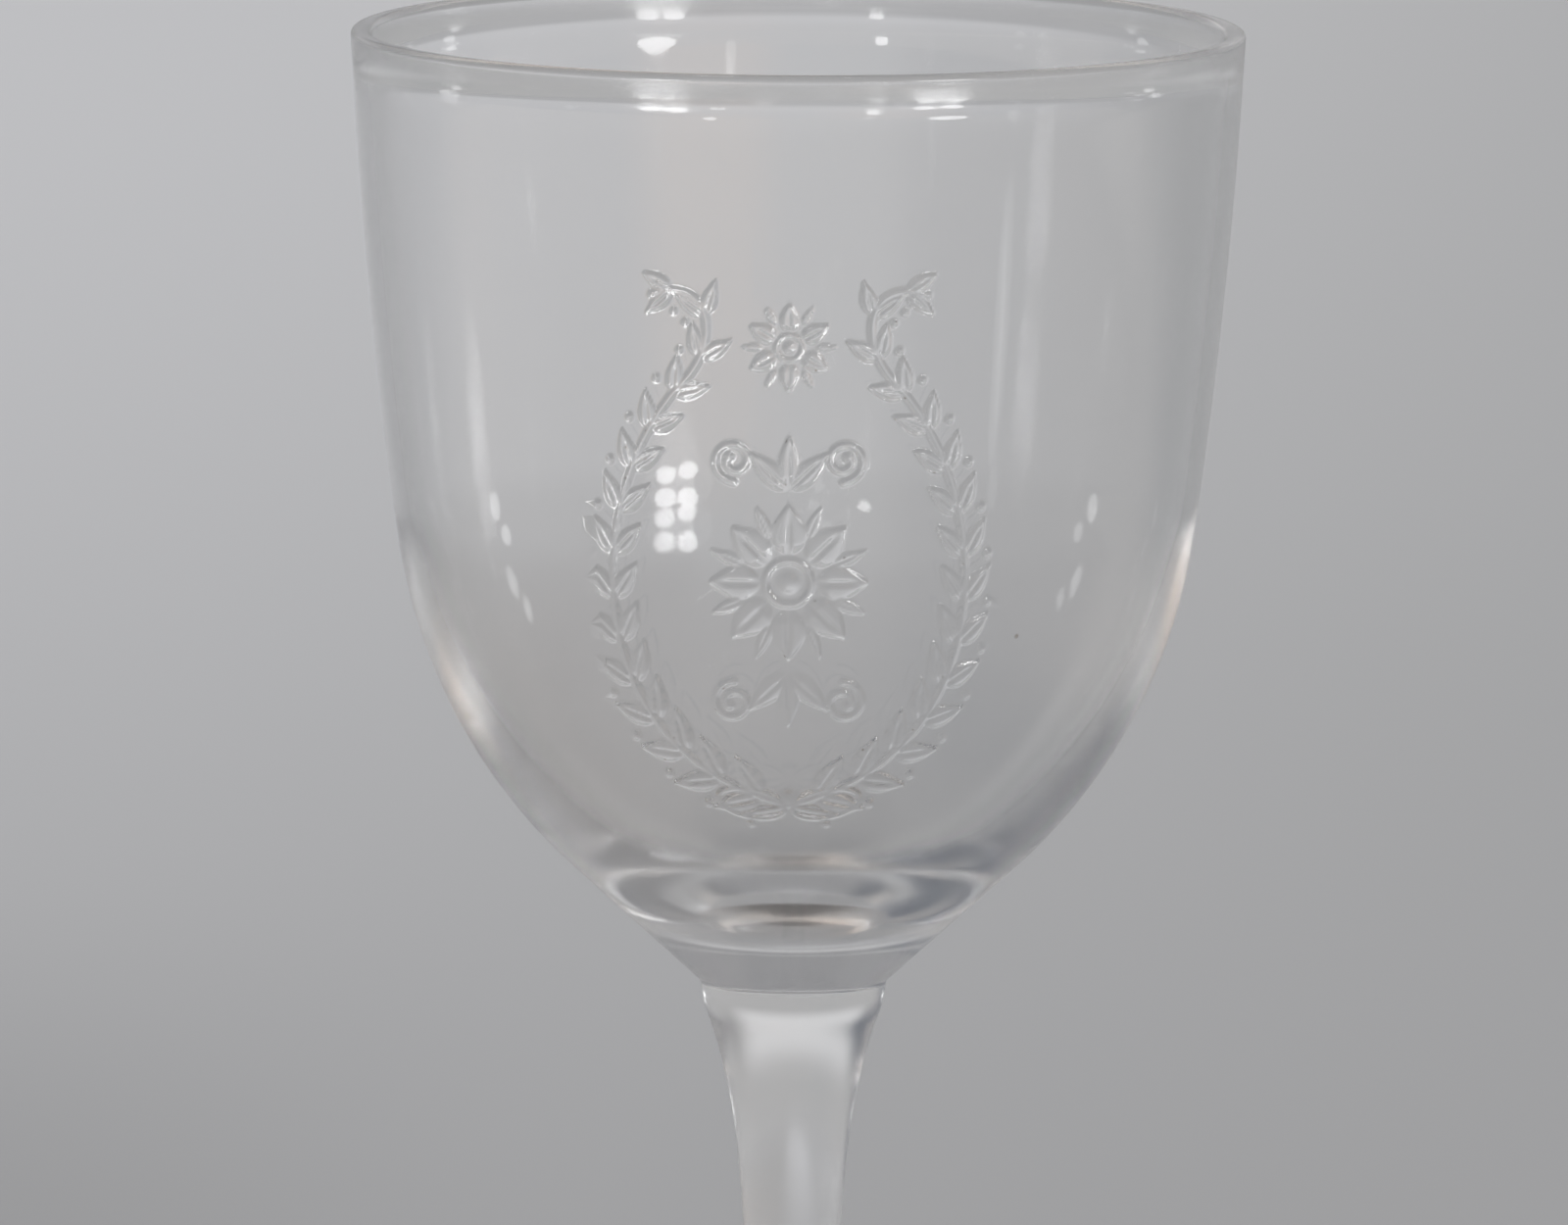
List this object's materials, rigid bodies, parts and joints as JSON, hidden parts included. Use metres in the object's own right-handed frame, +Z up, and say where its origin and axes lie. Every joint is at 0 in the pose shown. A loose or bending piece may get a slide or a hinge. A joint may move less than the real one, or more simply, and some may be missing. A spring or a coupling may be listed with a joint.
{
  "type": "liqueur glass",
  "caption": "Small stemmed drinking glass with a deep rounded bowl, a solid stem that thins below its neck and a shallow conical foot.",
  "frame": {"origin": "centre of the flat ring that the foot stands on", "axes": "+Z up along the glass's axis, towards the rim; +X to the right of the picture, with the decorated side of the bowl towards -Y"},
  "size_m": [0.052, 0.052, 0.108],
  "materials": {
    "clear_glass": "fire polished, colourless"
  },
  "bodies": {
    "root": {"bowl": "clear_glass", "stem": "clear_glass", "foot": "clear_glass"}
  },
  "joints": []
}
